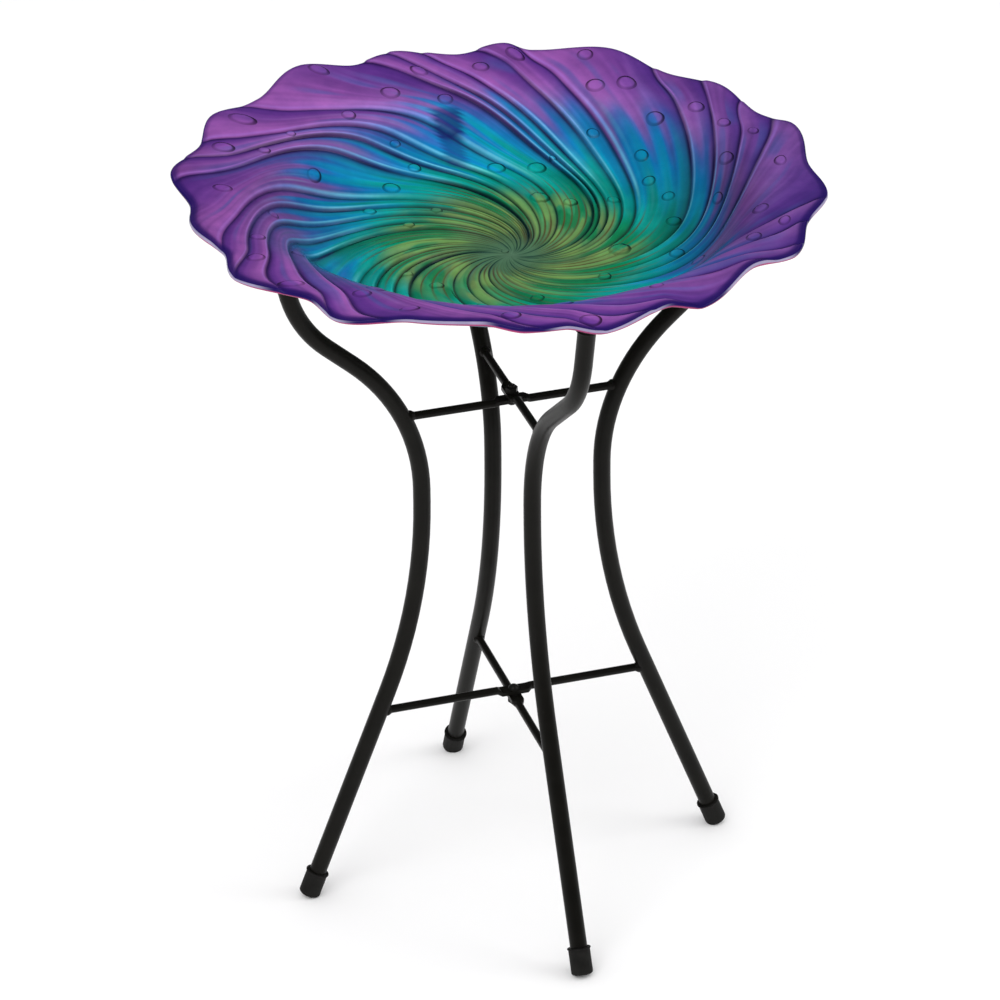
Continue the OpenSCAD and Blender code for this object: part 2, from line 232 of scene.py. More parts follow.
# Rim angles of the grooves: close ones in groups, with broad folds between the groups
GROOVES = (28, 38, 49, 60, 87, 95, 105.5, 112, 117, 147, 163, 171, 181, 211, 222, 232, 243, 253,
           280, 290, 300, 307, 328, 336, 344, 353)
BROAD_FROM = 20.0                      # a wider band than this is a broad fold
FINE_RIB = 5.6                         # degrees between the fine ribs of the floor
COLUMNS_PER_DEGREE, COLUMNS_PER_BAND = 1.95, 4    # columns of the mesh
COLUMN_CROWDING = 0.45                 # how much closer they are at a groove

# Ribs and folds
RIB_H, FOLD_H, FINE_H = 2.1, 3.0, 0.55
RIB_CREST = 0.86                       # share of the way across at which a rib is highest
RIB_IN, FINE_IN, FINE_OUT = (12, 95), (10, 34), (96, 128)
LIP_FLATTER, LIP_FLATTER_R = 0.45, (170, 222)


def smooth(x, lo, hi):
    """0 below lo and 1 above hi, with a smooth step between."""
    t = np.clip((x - lo) / (hi - lo), 0, 1)
    return t * t * (3 - 2 * t)


def window(x, rise, fall):
    """0 outside the two steps and 1 between them. Each step is a (from, to) pair."""
    return smooth(x, *rise) * (1 - smooth(x, *fall))


def bell(x, width):
    return np.exp(-(x / width) ** 2)


def angle_from(middle, angle):
    """Degrees from middle to angle, between -180 and 180."""
    return (angle - middle + 180.0) % 360.0 - 180.0


def wall_share(r):
    return 1.0 / (1.0 + np.exp(-(r - WALL_R) / WALL_SOFT))


def glass_z(r):
    return DISH_Z + DISH_RISE * (r / SECTION_R) ** 2 + WALL_RISE * (wall_share(r) - wall_share(0.0))


def wall_slope(r):
    share = wall_share(r)
    return 2 * DISH_RISE * r / SECTION_R ** 2 + WALL_RISE / WALL_SOFT * share * (1 - share)


def front_share(rim_angle):
    """How much a rib belongs to the front, where the lip's ribs lean over further."""
    return window(rim_angle % 360.0, FRONT_FROM, FRONT_TO)


def lag(r, rim_angle):
    """Degrees by which a rib lies behind its rim angle at radius r."""
    front = front_share(rim_angle)
    bend_r = SWIRL_BEND_R + FRONT_BEND * front
    further = SWIRL_FLOOR * SWIRL_SOFT * np.log1p(np.exp((bend_r - r) / SWIRL_SOFT))
    eye = SWIRL_EYE * np.exp(-r / SWIRL_EYE_R)
    lean = FRONT_LEAN * front * (1 - np.exp((r - SWIRL_R) / FRONT_LEAN_R))
    sweep = sum(turn * bell(angle_from(middle, rim_angle), spread) for middle, turn, spread in SWEEPS)
    return SWIRL_LIP * (SWIRL_R - r) + further + eye + lean + sweep * window(r, SWEEP_IN, SWEEP_OUT)


def rim_angle_at(r, view_angle):
    """Rim angle of the rib that passes through radius r at a viewer's angle, by repeated guesses."""
    rim_angle = view_angle + lag(r, view_angle + 40.0)
    for _ in range(12):
        rim_angle = view_angle + lag(r, rim_angle)
    return rim_angle


grooves = np.array(GROOVES, float)
widths = np.diff(np.append(grooves, grooves[0] + 360.0))
broad = widths > BROAD_FROM
fine_count = np.maximum(1, np.round(widths / FINE_RIB)).astype(int)
n_band = len(grooves)


def mesh_columns():
    """Rim angle of each column of the mesh, its band, and its place across the band from 0 to 1."""
    angles, bands, places = [], [], []
    for k in range(n_band):
        count = int(round(COLUMNS_PER_DEGREE * widths[k])) + COLUMNS_PER_BAND
        t = np.arange(count) / count
        s = (1 - COLUMN_CROWDING) * t + COLUMN_CROWDING * (0.5 - 0.5 * np.cos(np.pi * t))
        angles.append(grooves[k] + s * widths[k])
        bands.append(np.full(count, k))
        places.append(s)
    return np.concatenate(angles), np.concatenate(bands), np.concatenate(places)


columns, band, across = mesh_columns()
n_col = len(columns)


def find_band(rim_angle):
    """The band k that a rim angle lies in, and the place s across it from 0 to 1."""
    a = (rim_angle - grooves[0]) % 360.0 + grooves[0]
    k = np.clip(np.searchsorted(grooves, a, side="right") - 1, 0, n_band - 1)
    return k, (a - grooves[k]) / widths[k]


def rim_wave(a):
    """How far the rim stands out and up at angle a."""
    at = np.array([w[0] for w in RIM_WAVE], float)
    out_up = np.array([w[1:] for w in RIM_WAVE], float)
    at = np.append(at, at[0] + 360.0)
    out_up = np.vstack([out_up, out_up[0]])
    x = (a - at[0]) % 360.0 + at[0]
    i = np.clip(np.searchsorted(at, x, side="right") - 1, 0, len(at) - 2)
    t = smooth(x, at[i], at[i + 1])
    both = out_up[i] * (1 - t)[..., None] + out_up[i + 1] * t[..., None]
    return both[..., 0], both[..., 1]


def rib_shape(s, crest):
    """Cross-section of a rib from 0 to 1: it swells up to its crest and then drops to the next groove."""
    rise = np.clip(s / crest, 0, 1)
    return np.where(s < crest, 1 - (1 - rise) ** 2, smooth(1 - s, 0, 1 - crest))


def mm_across(r, k):
    """Width of band k at radius r, square to the rib."""
    first, last = grooves[k], grooves[k] + widths[k]
    middle = (first + last) / 2
    span = widths[k] + lag(r, first) - lag(r, last)
    turn = (lag(r - 1, middle) - lag(r + 1, middle)) / 2
    return span / np.hypot(turn, 57.3 / np.maximum(r, 2.0))      # 57.3 degrees in a radian


def swirl_height(r, s, k):
    """Height of the ribs, broad folds and the floor's fine ribs above the grooves."""
    flatter = 1 - LIP_FLATTER * smooth(r, *LIP_FLATTER_R)
    main = np.where(broad[k], FOLD_H, RIB_H) * smooth(r, *RIB_IN) * flatter
    fine = FINE_H * window(r, FINE_IN, FINE_OUT)
    return main * rib_shape(s, RIB_CREST) + fine * (0.5 - 0.5 * np.cos(2 * np.pi * s * fine_count[k]))


def surface_xyz(r, rim_angle, up, out=0.0):
    """Points on the ribs' lines. up and out are measured from the solid's inside face."""
    a = rim_angle - lag(r, rim_angle)
    share = smooth(r, LIP_R, RIM_R) ** LIP_POWER
    wave_out, wave_up = rim_wave(a)
    reach = r + share * wave_out + out
    view = np.radians(a)
    right = reach * np.cos(view) - share * RIM_SHIFT
    away = reach * np.sin(view)
    turn = math.radians(CAMERA_TURN)
    x = right * math.cos(turn) + away * math.sin(turn)
    y = away * math.cos(turn) - right * math.sin(turn)
    z = glass_z(r) + share * (wave_up + RIM_TILT * np.sin(view)) + up
    return np.stack([x, y, z], -1)


def painted_mesh(name, verts, paint, faces):
    """Smooth-shaded object from points in mm, with their paint in a colour attribute."""
    mesh = bpy.data.meshes.new(name)
    mesh.from_pydata((verts * MM).tolist(), [], faces)
    attribute = mesh.color_attributes.new("paint", "FLOAT_COLOR", "POINT")
    rgba = np.ones((len(verts), 4))
    rgba[:, :3] = paint
    attribute.data.foreach_set("color", rgba.ravel())
    mesh.polygons.foreach_set("use_smooth", [True] * len(mesh.polygons))
    mesh.update()
    ob = bpy.data.objects.new(name, mesh)
    bpy.context.scene.collection.objects.link(ob)
    return ob


def ring_faces(rows, cols, start=0):
    """Quads between neighbouring rings of points, facing up when the rings run outwards."""
    i = np.arange(rows - 1)[:, None] * cols
    j = np.arange(cols)[None, :]
    jn = (j + 1) % cols
    quads = np.stack([i + j, i + cols + j, i + cols + jn, i + jn], -1).reshape(-1, 4)
    return (quads + start).tolist()


# ---------------------------------------------------------------- the dish's paint

# Colour by radius, and the colours that are laid over it, as display values from 0 to 255
PAINT_R = (0, 30, 45, 60, 75, 90, 105, 120, 135, 150, 160, 170, 180, 190, 200, 226)
PAINT_RGB = ((78, 112, 88), (76, 122, 84), (86, 138, 86), (78, 144, 90), (42, 146, 98), (2, 144, 108),
             (0, 152, 140), (0, 162, 158), (0, 158, 196), (6, 132, 198), (60, 108, 188), (124, 94, 172),
             (130, 82, 162), (124, 72, 156), (118, 65, 150), (114, 62, 146))


def linear(rgb):
    c = np.asarray(rgb, float) / 255.0
    return np.where(c < 0.04045, c / 12.92, ((c + 0.055) / 1.055) ** 2.4)


PAINT = linear(PAINT_RGB)
INDIGO, VIOLET, LILAC = linear((34, 18, 92)), linear((84, 42, 142)), linear((196, 118, 200))
BROWN, SMOKE, DEEP_TEAL = linear((84, 66, 38)), linear((104, 90, 112)), linear((2, 54, 62))
PALE_EDGE, PINK_EDGE = linear((176, 168, 200)), linear((176, 66, 118))
EMERALD, LIME, OCHRE = linear((0, 122, 72)), linear((122, 164, 88)), linear((110, 108, 72))
# TIP_SHADOW_BLUE is the colour of a painted shadow
SKY, DUSK_BLUE, TIP_SHADOW_BLUE = linear((96, 206, 224)), linear((70, 92, 168)), linear((24, 28, 104))
DUSK_TEAL = linear((48, 82, 134))
DARKEST = 0.0008                       # no paint is blacker than this

# Noise patterns of the paint: cells round the dish, cells from middle to rim, seed
NOISE = {"drift": (44, 5, 1), "ripple": (150, 10, 2), "streak": (300, 7, 3), "wobble": (80, 16, 4),
         "cloud": (30, 9, 7), "stroke": (96, 6, 11), "dusk": (120, 8, 13), "sky": (170, 7, 17),
         "patch": (72, 11, 19), "ochre": (66, 9, 23)}
NOISE_R = 230.0                        # the patterns reach this radius

# Rings of paint: the radii where each fades in, and where it fades out
RINGS = {"dusk": ((146, 170), (196, 220)), "sky": ((100, 122), (150, 176)), "green": ((55, 80), (108, 132)),
         "inner": ((22, 42), (74, 104)), "fine": ((12, 34), (90, 116)), "wall": ((100, 130), (150, 180)),
         "front_left": ((138, 158), (176, 194)), "tip_shadow_cap": ((146, 149), (161, 164)),
         "tip_shadow_tube": ((124, 132), (147, 150))}

# Steps of paint: the radii over which each comes in on the way to the rim
FADES = {"draw": (20, 120), "brush": (90, 120), "side": (70, 130), "lip": (150, 176), "emerald": (40, 60),
         "smoke": (110, 170), "crest": (92, 130), "bold_groove": (3, 14), "groove": (16, 40),
         "shade": (50, 140), "thick": (30, 110), "deep": (95, 125), "less_deep": (150, 190),
         "less_red": (150, 175)}

# How far the outer colours are drawn inwards
DRAW_LEVEL, DRAW_BAND, DRAW_ACROSS = -7.0, 8.0, 22.0    # everywhere, by band, and from groove to crest, the last partly painted shade and light across each rib
DRAW_DRIFT, DRAW_STROKE, DRAW_RIPPLE = 6.0, 15.0, 4.0   # by the noise patterns
DRAW_SIDE, LESS_BACK, LESS_LEFT = 5.0, 6.0, 5.0         # all round, and less at the back and left

# Grooves drawn as heavy strokes in the floor: rim angle, and the radii between which it is heavy
HEAVY = ((117, 44, 80), (181, 27, 118), (307, 17, 88))
HEAVY_W, HEAVY_FADE = 1.5, 6
FINE_LINE_W = 0.62                     # width of the floor's fine brown lines
TEAL_R = 125                           # grooves are drawn in dark teal up to here, and then in indigo
FRONT_LEFT, FRONT_LEFT_SPREAD = 222.0, 24.0
TIP_ANGLE = 106.5                      # where the rear leg's end shows through the glass, as a painted shadow
CAP_HALF, TUBE_HALF = (3.4, 4.2), (2.8, 3.6)      # degrees over which the painted shadow's sides fade


def ramp(r):
    """Paint colour by radius."""
    return np.stack([np.interp(r, PAINT_R, PAINT[:, c]) for c in range(3)], -1)


def tint(colour, other, amount):
    amount = np.clip(amount, 0, 1)[..., None]
    return colour * (1 - amount) + other * amount


def lattice_noise(u, v, cells_u, cells_v, seed):
    """Smooth noise from -1 to 1, periodic in u (0 to 1), for v from 0 to 1."""
    grid = np.random.default_rng(seed).uniform(-1, 1, (cells_u, cells_v + 2))
    x = (u % 1.0) * cells_u
    y = np.clip(v, 0, 0.9999) * cells_v
    i, j = np.floor(x).astype(int), np.floor(y).astype(int)
    fx, fy = smooth(x - i, 0, 1), smooth(y - j, 0, 1)
    i0, i1 = i % cells_u, (i + 1) % cells_u
    a = grid[i0, j] * (1 - fx) + grid[i1, j] * fx
    b = grid[i0, j + 1] * (1 - fx) + grid[i1, j + 1] * fx
    return a * (1 - fy) + b * fy


band_rng = np.random.default_rng(5)
band_shift = band_rng.uniform(-1, 1, n_band)
band_smoke = band_rng.uniform(0, 1, n_band)
band_bold = np.where(broad, 1.0, band_rng.uniform(0.2, 0.7, n_band))


class Place:
    """Points at radius r on the ribs of the given rim angles, with what the paint needs to know of them."""

    def __init__(self, r, rim_angle):
        self.r, self.rim_angle = r, rim_angle
        self.k, self.s = find_band(rim_angle)
        self.view = np.radians(rim_angle - lag(r, rim_angle))
        self.width = mm_across(r, self.k)
        self.past = self.s * self.width               # past the last groove
        self.ahead = (1 - self.s) * self.width        # short of the next groove
        self.bold = band_bold[self.k]
        self.cloud = self.noise("cloud")

    def noise(self, name):
        return lattice_noise(self.rim_angle / 360.0, self.r / NOISE_R, *NOISE[name])

    def ring(self, name):
        return window(self.r, *RINGS[name])

    def fade(self, name):
        return smooth(self.r, *FADES[name])

    def from_angle(self, middle):
        return angle_from(middle, np.degrees(self.view))


def flowing_paint(p):
    """Colour by radius, drawn in and out along the ribs, with light and dark streaks."""
    stroke = p.noise("stroke")
    brush = np.sign(stroke) * np.abs(stroke) ** 0.6 * p.fade("brush")
    # the groove-to-crest shift is partly painted shade and light across each rib
    drawn = (DRAW_LEVEL + DRAW_BAND * band_shift[p.k] + DRAW_ACROSS * p.s
             + DRAW_DRIFT * p.noise("drift") + DRAW_STROKE * brush + DRAW_RIPPLE * p.noise("ripple"))
    back, left = np.maximum(0, np.sin(p.view)), np.maximum(0, -np.cos(p.view))
    side = DRAW_SIDE - LESS_BACK * back - LESS_LEFT * left
    colour = ramp(p.r + drawn * p.fade("draw") + side * p.fade("side"))
    return colour * (1 + 0.15 * p.noise("streak") + 0.14 * p.cloud)[..., None]


def lip_and_wall(colour, p):
    """Lilac towards the crests, partly the paint and partly a painted highlight on each rib's lit slope, and
    violet after the grooves as painted shade on the lip; dusky blue on it and sky blue strokes on the wall.
    """
    lip = p.fade("lip")
    near_crest = smooth(p.s, 0.3, 0.85)
    # lilac towards each crest: partly paint, partly a painted highlight
    lilac_and_highlight = 0.40 * near_crest * (0.6 + 0.4 * p.cloud) + 0.06 * p.noise("streak")
    colour = tint(colour, LILAC, lip * lilac_and_highlight)
    # painted shade: violet just after each groove on the lip
    colour = tint(colour, VIOLET, 0.6 * lip * (1 - smooth(p.s, 0.02, 0.5)))
    colour = tint(colour, DUSK_BLUE, 0.5 * smooth(p.noise("dusk"), 0.15, 0.7) * p.ring("dusk"))
    return tint(colour, SKY, 0.30 * p.ring("sky") * smooth(p.noise("sky"), 0.1, 0.8) * near_crest)


def floor_strokes(colour, p):
    """Emerald after the broad grooves, and lime, ochre and emerald strokes between the fine ribs."""
    inner = p.ring("inner")
    patch = p.noise("patch")
    colour = tint(colour, EMERALD, 0.6 * p.ring("green") * broad[p.k] * (1 - smooth(p.s, 0.1, 0.6)))
    colour = tint(colour, LIME, 0.75 * inner * smooth(patch, 0.0, 0.3))
    colour = tint(colour, OCHRE, 0.35 * inner * smooth(p.noise("ochre"), 0.15, 0.5))
    return tint(colour, EMERALD, 0.8 * inner * smooth(-patch, 0.2, 0.45) * p.fade("emerald"))


def smoke_and_fine_lines(colour, p):
    """Smoky brown where the paint pools along some ribs, and the floor's fine brown lines."""
    smoky = smooth(band_smoke[p.k] + 0.4 * p.cloud, 0.45, 0.8)
    colour = tint(colour, SMOKE, 0.5 * bell(p.ahead - 1.2, 1.1) * p.fade("smoke") * smoky)
    fine = p.s * fine_count[p.k]
    to_line = np.abs(fine - np.round(fine)) * p.width / fine_count[p.k]
    return tint(colour, BROWN, p.ring("fine") * bell(to_line, FINE_LINE_W) * (0.75 + 0.5 * p.cloud))


def crest_highlights(colour, p, wobble):
    """A pale line along each crest: a painted highlight, a lighter copy of the colour beneath."""
    crest_at = 1.4 + 0.03 * p.width
    pale = bell(p.ahead - crest_at, 0.44 + 0.01 * p.width) * p.fade("crest") * wobble
    # the painted highlight's colour: the paint made lighter
    light = ramp(p.r) * 1.75 + 0.06 + 0.12 * p.ring("wall")[..., None]
    return tint(colour, np.clip(light, 0, 1), 0.85 * pale)


def groove_lines_and_shade(colour, p, wobble):
    """A dark line in each groove, partly the groove's paint and partly painted shade in it, with painted soft
    shade after it, and the heavy strokes of the floor.
    """
    dark = ramp(p.r + 6) * 0.07 + np.where((p.r < TEAL_R)[..., None], DEEP_TEAL * 0.3, INDIGO * 0.42)
    fade = np.where(p.bold > 0.4, p.fade("bold_groove"), p.fade("groove"))
    shade_w = 0.2 * p.width + 1.4 * p.fade("shade") + 0.1
    # painted soft shade after each groove
    colour = tint(colour, dark * 2.4, 0.5 * np.exp(-(p.past / shade_w) ** 1.3) * fade)
    thin = 0.42 + 0.58 * p.fade("thick")
    edge = np.where(p.s < 0.5, p.past / (1.15 + 0.75 * p.bold), p.ahead / (0.85 + 0.25 * p.bold))
    # the dark line in the groove: paint and painted shade
    colour = tint(colour, dark, bell(edge, thin) * fade * np.clip(0.8 + 0.3 * p.bold, 0, 1) * wobble)
    for at, low, high in HEAVY:
        off = angle_from(at, p.rim_angle) * p.width / widths[p.k]
        heavy = window(p.r, (low - HEAVY_FADE, low + HEAVY_FADE), (high - 2 * HEAVY_FADE, high + HEAVY_FADE))
        colour = tint(colour, DEEP_TEAL * 0.4, 0.95 * bell(off, HEAVY_W) * heavy)
    return colour


def teal_and_side_shade(colour, p):
    """Dusky teal on the front left, and painted shade to the right and left: the colour made darker, and less
    red on the right.
    """
    front_left = bell(p.from_angle(FRONT_LEFT), FRONT_LEFT_SPREAD)
    colour = tint(colour, DUSK_TEAL, 0.6 * front_left * p.ring("front_left"))
    right, left = np.maximum(0, np.cos(p.view)) ** 2, np.maximum(0, -np.cos(p.view)) ** 2
    deep = p.fade("deep") * (1 - 0.6 * p.fade("less_deep"))
    # painted shade: darker to the right and left
    colour = colour * (1 - (0.5 * right + 0.26 * left) * deep)[..., None]
    colour[..., 0] *= 1 - 0.22 * right * p.fade("less_red")
    return colour


def tip_painted_shadow(colour, p):
    """Painted shadow of the rear leg's end, which shows faintly through the glass, as dark blue in the paint.
    """
    off = np.abs(p.from_angle(TIP_ANGLE))
    cap = (1 - smooth(off, *CAP_HALF)) * p.ring("tip_shadow_cap")
    tube = (1 - smooth(off, *TUBE_HALF)) * p.ring("tip_shadow_tube")
    return tint(colour, TIP_SHADOW_BLUE, 0.75 * cap + 0.5 * tube)


def rim_band(colour, p):
    """Deep indigo round the rim, wider and stronger at the front."""
    front = smooth(-np.sin(p.view), -0.45, 0.25)
    begins, full = RIM_R - 2.5 - 4.0 * front, RIM_R - 1.0 - front
    return tint(colour, INDIGO, smooth(p.r, begins, full) * (0.45 + 0.47 * front))


def paint_at(r, rim_angle):
    """Paint colour at radius r on the ribs of the given rim angles."""
    p = Place(r, rim_angle)
    wobble = 0.85 + 0.3 * p.noise("wobble")
    colour = flowing_paint(p)
    colour = lip_and_wall(colour, p)
    colour = floor_strokes(colour, p)
    colour = smoke_and_fine_lines(colour, p)
    colour = crest_highlights(colour, p, wobble)
    colour = groove_lines_and_shade(colour, p, wobble)
    colour = teal_and_side_shade(colour, p)
    colour = tip_painted_shadow(colour, p)
    colour = rim_band(colour, p)
    return np.clip(colour, DARKEST, 1)


# ---------------------------------------------------------------- the dish's mesh

EYE_FROM, EYE_TO, EYE_ROWS = 2.0, 30.0, 9         # rows of the inside face
FLOOR_FROM, LIP_FROM = 32.0, 176.0
FLOOR_STEP, LIP_STEP, LAST_STEP = 2.6, 1.6, 0.9
UNDER_LIP, UNDER_WALL, UNDER_FLOOR = (216, 178, -8), (172, 120, -10), (110, 8, -25)     # radii and steps
UNDER_EYE_R = 6.0
EDGE_ROWS, EDGE_FROM, EDGE_TO = 9, 0.06, 0.94     # rows round the edge, as shares of its half turn
# Where the edge is clear and pale: angles, fading over CLEAR_FADE each way. Some of the indigo between them
# is a painted shadow of a leg seen through the glass.
CLEAR_EDGE = ((150, 172), (196, 226), (237, 244), (252, 268), (279, 300), (312, 330), (345, 359))
CLEAR_FADE, CLEAR_SHARE = 2, 0.85
CLEAR_FROM, PINK_FROM = 0.2, 0.6       # share of the half turn where pale and pink begin
UNDER_DARKER, UNDER_PINK = 0.75, 0.22
UNDER_PINK_RIM, UNDER_PINK_R = 0.38, (120, 190)   # and pinker by this much towards the rim


def inside_rows():
    """Points and paint of the inside face, from the eye outwards."""
    r_last = RIM_R - LAST_STEP
    radii = np.concatenate([np.linspace(EYE_FROM, EYE_TO, EYE_ROWS),
                            np.arange(FLOOR_FROM, LIP_FROM, FLOOR_STEP),
                            np.arange(LIP_FROM, r_last, LIP_STEP), [r_last, RIM_R]])
    r, angle = np.meshgrid(radii, columns, indexing="ij")
    roll = ROLL_DOWN * smooth(r, RIM_R - ROLL_WIDTH, RIM_R)
    return surface_xyz(r, angle, swirl_height(r, across, band) - FACE_DOWN - roll), paint_at(r, angle)


def edge_rows():
    """Rounded edge, over to the underside: indigo above, pale where the glass is clear, pink below."""
    rim = np.full(n_col, RIM_R)
    top = swirl_height(rim, across, band) - FACE_DOWN - ROLL_DOWN
    view = (columns - lag(rim, columns)) % 360.0
    clear = sum(window(view, (lo - CLEAR_FADE, lo + CLEAR_FADE), (hi - CLEAR_FADE, hi + CLEAR_FADE))
                for lo, hi in CLEAR_EDGE)
    indigo, pink = np.tile(INDIGO, (n_col, 1)), np.tile(PINK_EDGE, (n_col, 1))
    points, paint = [], []
    for share in np.linspace(EDGE_FROM, EDGE_TO, EDGE_ROWS):
        turn = share * math.pi
        to_under = (1 - math.cos(turn)) / 2
        up = top * (1 - to_under) - GLASS_T * to_under
        points.append(surface_xyz(rim, columns, up, EDGE_BULGE * math.sin(turn)))
        pale = tint(indigo, PALE_EDGE, CLEAR_SHARE * clear * (share > CLEAR_FROM))
        paint.append(pink if share > PINK_FROM else pale)
    return np.array(points), np.array(paint)


def under_rows():
    """Points and paint of the underside, from the rim inwards: darker paint, pinker towards the rim."""
    radii = np.concatenate([[RIM_R], np.arange(*UNDER_LIP), np.arange(*UNDER_WALL), np.arange(*UNDER_FLOOR),
                            [UNDER_EYE_R]])
    r, angle = np.meshgrid(radii, columns, indexing="ij")
    ribs = UNDER_RIBS * swirl_height(r, across, band) * smooth(r, *UNDER_RIBS_R)
    glass_here = GLASS_T - FLOOR_THINNER * (1 - smooth(r, *FLOOR_EDGE))
    pink = UNDER_PINK + UNDER_PINK_RIM * smooth(r, *UNDER_PINK_R)
    paint = tint(paint_at(r, angle) * UNDER_DARKER, PINK_EDGE * 0.6, pink)
    return surface_xyz(r, angle, ribs - glass_here), paint


def build_dish():
    """The whole dish as one closed skin, with a fan of triangles over each eye."""
    parts = [inside_rows(), edge_rows(), under_rows()]
    verts = np.concatenate([points for points, _ in parts]).reshape(-1, 3)
    paint = np.concatenate([colours for _, colours in parts]).reshape(-1, 3)
    rows = len(verts) // n_col
    faces = ring_faces(rows, n_col)
    for row, up in ((0, True), (rows - 1, False)):
        ring = (row * n_col + np.arange(n_col)).tolist()
        centre = len(verts)
        verts = np.vstack([verts, verts[ring].mean(0)])
        paint = np.vstack([paint, paint[ring].mean(0)])
        for a, b in zip(ring, ring[1:] + ring[:1]):
            faces.append([a, b, centre] if up else [b, a, centre])
    return painted_mesh("swirled_glass_dish", verts, paint, faces)


# ---------------------------------------------------------------- raised bubbles in the glass

# The plainest bubbles: angle and radius
BUBBLES = ((10, 196), (26, 195), (35, 186), (44, 188), (22, 166), (51, 167), (63, 191), (73, 212), (77, 182),
           (87, 210), (95, 200), (102, 170), (118, 183), (126, 214), (133, 175), (151, 208), (151, 182),
           (166, 208), (163, 185), (181, 197), (56, 145), (46, 132), (70, 151), (99, 122), (86, 121),
           (76, 133), (81, 85), (40, 104), (12, 120), (30, 130), (122, 150), (119, 133), (164, 153),
           (156, 82), (200, 188), (350, 175), (128, 7))
BUBBLE_COUNT, BUBBLE_APART = 72, 30    # the rest are scattered, at least this far from each other
SCATTER_R, SCATTER_FROM = 212, 0.12    # within this radius, leaving out this share of the area
SCATTER_SEED = 21

# Rings of a bubble: reach as a share of its size, height, and painted shade (above 1 is lighter, a painted
# highlight)
BUBBLE_RINGS = ((0.0, 0.75, 1.16), (0.35, 0.74, 1.14), (0.6, 0.7, 1.12), (0.7, 0.66, 1.1), (0.78, 0.55, 0.8),
                (0.86, 0.38, 0.3), (0.96, 0.18, 0.1), (1.08, 0.07, 0.16), (1.2, -0.3, 0.8))
BUBBLE_SIDES = 36
BUBBLE_H = 1.25                        # scale of the rings' heights
BUBBLE_SIZE, EYE_BUBBLE_SIZE, EYE_BUBBLE_R = (4.6, 7.6), (3.2, 4.6), 60
SMALLEST_BUBBLE, RIB_SHARE = 2.6, 0.40            # a bubble's radius is at most this share of its rib's width
GROOVE_CLEAR, CREST_CLEAR = 1.2, 0.12             # room to the groove, and share of the width to the crest
BED_REACH, BED_TILT = 1.1, 0.8         # rings within this reach lie on a flat bed that tilts with the rib
LIT_FROM = (20, 110)                   # angles from which a bubble may be lit
SQUASH_POWER = -0.85                   # a bubble on the steep wall reaches less far up and down it
MIN_REACH = 0.02


def on_plan(angle, r):
    return r * math.cos(math.radians(angle)), r * math.sin(math.radians(angle))


def bubble_places(draw):
    """The listed bubbles and then scattered ones, as angle and radius."""
    places = [[a, r] for a, r in BUBBLES]
    while len(places) < BUBBLE_COUNT:
        a, r = draw.uniform(0, 360), SCATTER_R * math.sqrt(draw.uniform(SCATTER_FROM, 1))
        if min(math.dist(on_plan(a, r), on_plan(*place)) for place in places) > BUBBLE_APART:
            places.append([a, r])
    return places


def fit_to_rib(a, r, size):
    """Angle and size at which a bubble sits between two grooves."""
    radius = np.array([r])
    k, s = find_band(rim_angle_at(radius, np.array([float(a)])))
    width = mm_across(radius, k)[0]
    size = max(SMALLEST_BUBBLE, min(size, RIB_SHARE * width))
    edge = (size + GROOVE_CLEAR) / width
    s_new = np.clip(s[0], min(edge, 0.45), max(1 - edge - CREST_CLEAR, 0.45))
    rim_angle = grooves[k[0]] + s_new * widths[k[0]]
    return float(rim_angle - lag(r, rim_angle)), size


def bubble(a, r, size, lit):
    """Points and paint of one bubble, ring by ring: a low dome with a painted highlight and a dark ring of
    painted shade, darkest on one side, by where the bubble is lit.
    """
    around = np.radians(np.arange(BUBBLE_SIDES) * 360.0 / BUBBLE_SIDES)
    squash = (1 + wall_slope(r) ** 2) ** SQUASH_POWER
    facing = 0.5 + 0.5 * np.cos(around + math.radians(a - lit))
    points, paint = [], []
    for reach, lift, shade in BUBBLE_RINGS:
        outwards = np.maximum(reach, MIN_REACH) * size * np.cos(around) * squash
        sideways = np.maximum(reach, MIN_REACH) * size * np.sin(around)
        rr = np.hypot(r + outwards, sideways)
        rim_angle = rim_angle_at(rr, a + np.degrees(np.arctan2(sideways, r + outwards)))
        k, s = find_band(rim_angle)
        height = swirl_height(rr, s, k) - FACE_DOWN
        if reach < BED_REACH:
            slope_out, slope_side = (height * np.cos(around)).mean(), (height * np.sin(around)).mean()
            bed = height.mean() + 2 * BED_TILT * (slope_out * np.cos(around) + slope_side * np.sin(around))
            height = np.maximum(bed, height)
        points.append(surface_xyz(rr, rim_angle, height + lift * BUBBLE_H))
        # painted shade of the ring, darkest on the side set by lit; above 1 a painted highlight
        dark = shade if shade >= 1 else 1 - (1 - shade) * (0.25 + 0.75 * facing)
        paint.append(paint_at(rr, rim_angle) * np.reshape(dark * np.ones(BUBBLE_SIDES), (-1, 1)))
    return np.concatenate(points), np.concatenate(paint)


def build_bubbles():
    draw = np.random.default_rng(SCATTER_SEED)
    verts, paint, faces = [], [], []
    for i, (a, r) in enumerate(bubble_places(draw)):
        size = draw.uniform(*(BUBBLE_SIZE if r > EYE_BUBBLE_R else EYE_BUBBLE_SIZE))
        lit = draw.uniform(*LIT_FROM)
        a, size = fit_to_rib(a, r, size)
        points, colours = bubble(a, r, size, lit)
        verts.append(points)
        paint.append(colours)
        faces += ring_faces(len(BUBBLE_RINGS), BUBBLE_SIDES, i * len(points))
    return painted_mesh("raised_glass_bubbles", np.concatenate(verts), np.concatenate(paint), faces)


dish = build_dish()
glass = glass_material("swirled_glass")
for piece in (dish, build_bubbles()):
    piece.data.materials.append(glass)
    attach(piece, "bowl")
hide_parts("glass_bowl")

# ---------------------------------------------------------------- stage, light and camera

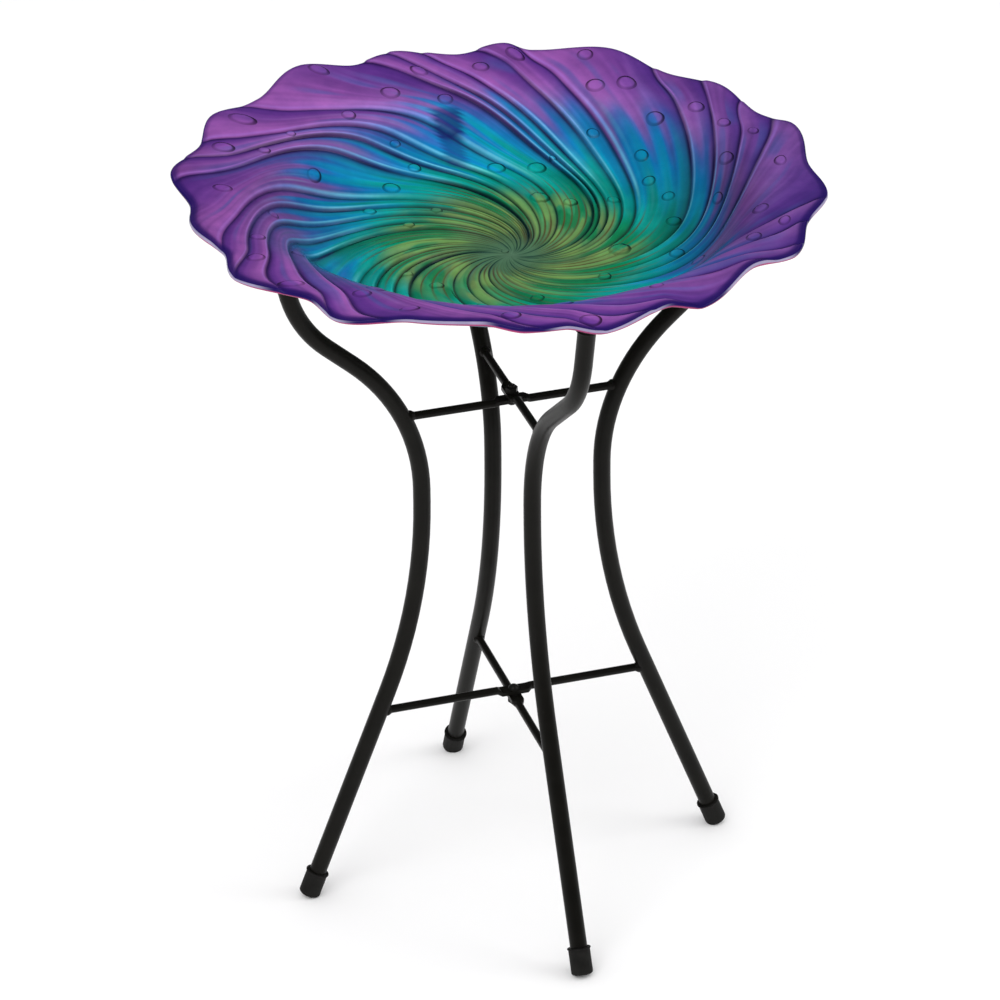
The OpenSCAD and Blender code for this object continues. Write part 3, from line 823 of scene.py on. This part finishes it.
FLOOR_HALF, FLOOR_DROP = 9, 0.0003     # the floor lies just below the feet
FLOOR_GREY = (0.93, 0.93, 0.93)
GLOSSY_LIGHT = 0.05                    # share of the world's light that gloss reflects
CAMERA_BACK, CAMERA_RIGHT, CAMERA_UP = 2.849, -0.009, 33.9     # the last is an angle, seen from the origin
CAMERA_PITCH, CAMERA_ROLL, CAMERA_LENS = 29.4, -0.5, 163.1


def area_light(name, place, aim, size, power):
    """Square light at place that faces aim."""
    data = bpy.data.lights.new(name, "AREA")
    data.size = size
    data.energy = power
    ob = bpy.data.objects.new(name, data)
    bpy.context.scene.collection.objects.link(ob)
    ob.location = place
    ob.rotation_euler = (Vector(aim) - Vector(place)).to_track_quat("-Z", "Y").to_euler()


def pale_floor():
    signs = ((-1, -1), (1, -1), (1, 1), (-1, 1))
    corners = [(x * FLOOR_HALF, y * FLOOR_HALF, -FLOOR_DROP) for x, y in signs]
    mesh = bpy.data.meshes.new("floor")
    mesh.from_pydata(corners, [], [(0, 1, 2, 3)])
    floor = bpy.data.objects.new("floor", mesh)
    bpy.context.scene.collection.objects.link(floor)
    n = Nodes("pale_floor")
    mesh.materials.append(n.finish(n.add("ShaderNodeBsdfPrincipled", Base_Color=FLOOR_GREY, Roughness=0.9)))


def studio_world():
    """White light from all round, which gloss reflects only faintly."""
    world = bpy.data.worlds.new("studio")
    bpy.context.scene.world = world
    world.use_nodes = True
    nodes, links = world.node_tree.nodes, world.node_tree.links
    background = nodes["Background"]
    background.inputs[0].default_value = (1, 1, 1, 1)
    ray = nodes.new("ShaderNodeLightPath")
    strength = nodes.new("ShaderNodeMapRange")
    strength.inputs["To Min"].default_value = 1.0
    strength.inputs["To Max"].default_value = GLOSSY_LIGHT
    links.new(ray.outputs["Is Glossy Ray"], strength.inputs["Value"])
    links.new(strength.outputs[0], background.inputs[1])


def add_camera():
    data = bpy.data.cameras.new("camera")
    data.sensor_width = 36.0
    data.lens = CAMERA_LENS
    data.clip_end = 50.0
    camera = bpy.data.objects.new("camera", data)
    bpy.context.scene.collection.objects.link(camera)
    turn = Matrix.Rotation(math.radians(-CAMERA_TURN), 4, "Z")
    place = Matrix.Translation((CAMERA_RIGHT, -CAMERA_BACK, CAMERA_BACK * math.tan(math.radians(CAMERA_UP))))
    tilt = Matrix.Rotation(math.radians(90 - CAMERA_PITCH), 4, "X")
    camera.matrix_world = turn @ place @ tilt @ Matrix.Rotation(math.radians(CAMERA_ROLL), 4, "Z")
    bpy.context.scene.camera = camera


pale_floor()
studio_world()
bpy.context.scene.view_settings.view_transform = "Standard"
area_light("key", (-1.6, -1.4, 2.6), (0, 0, 0.4), 1.8, 26)
area_light("right", (1.9, -0.6, 1.6), (0, 0, 0.3), 1.2, 12)
add_camera()
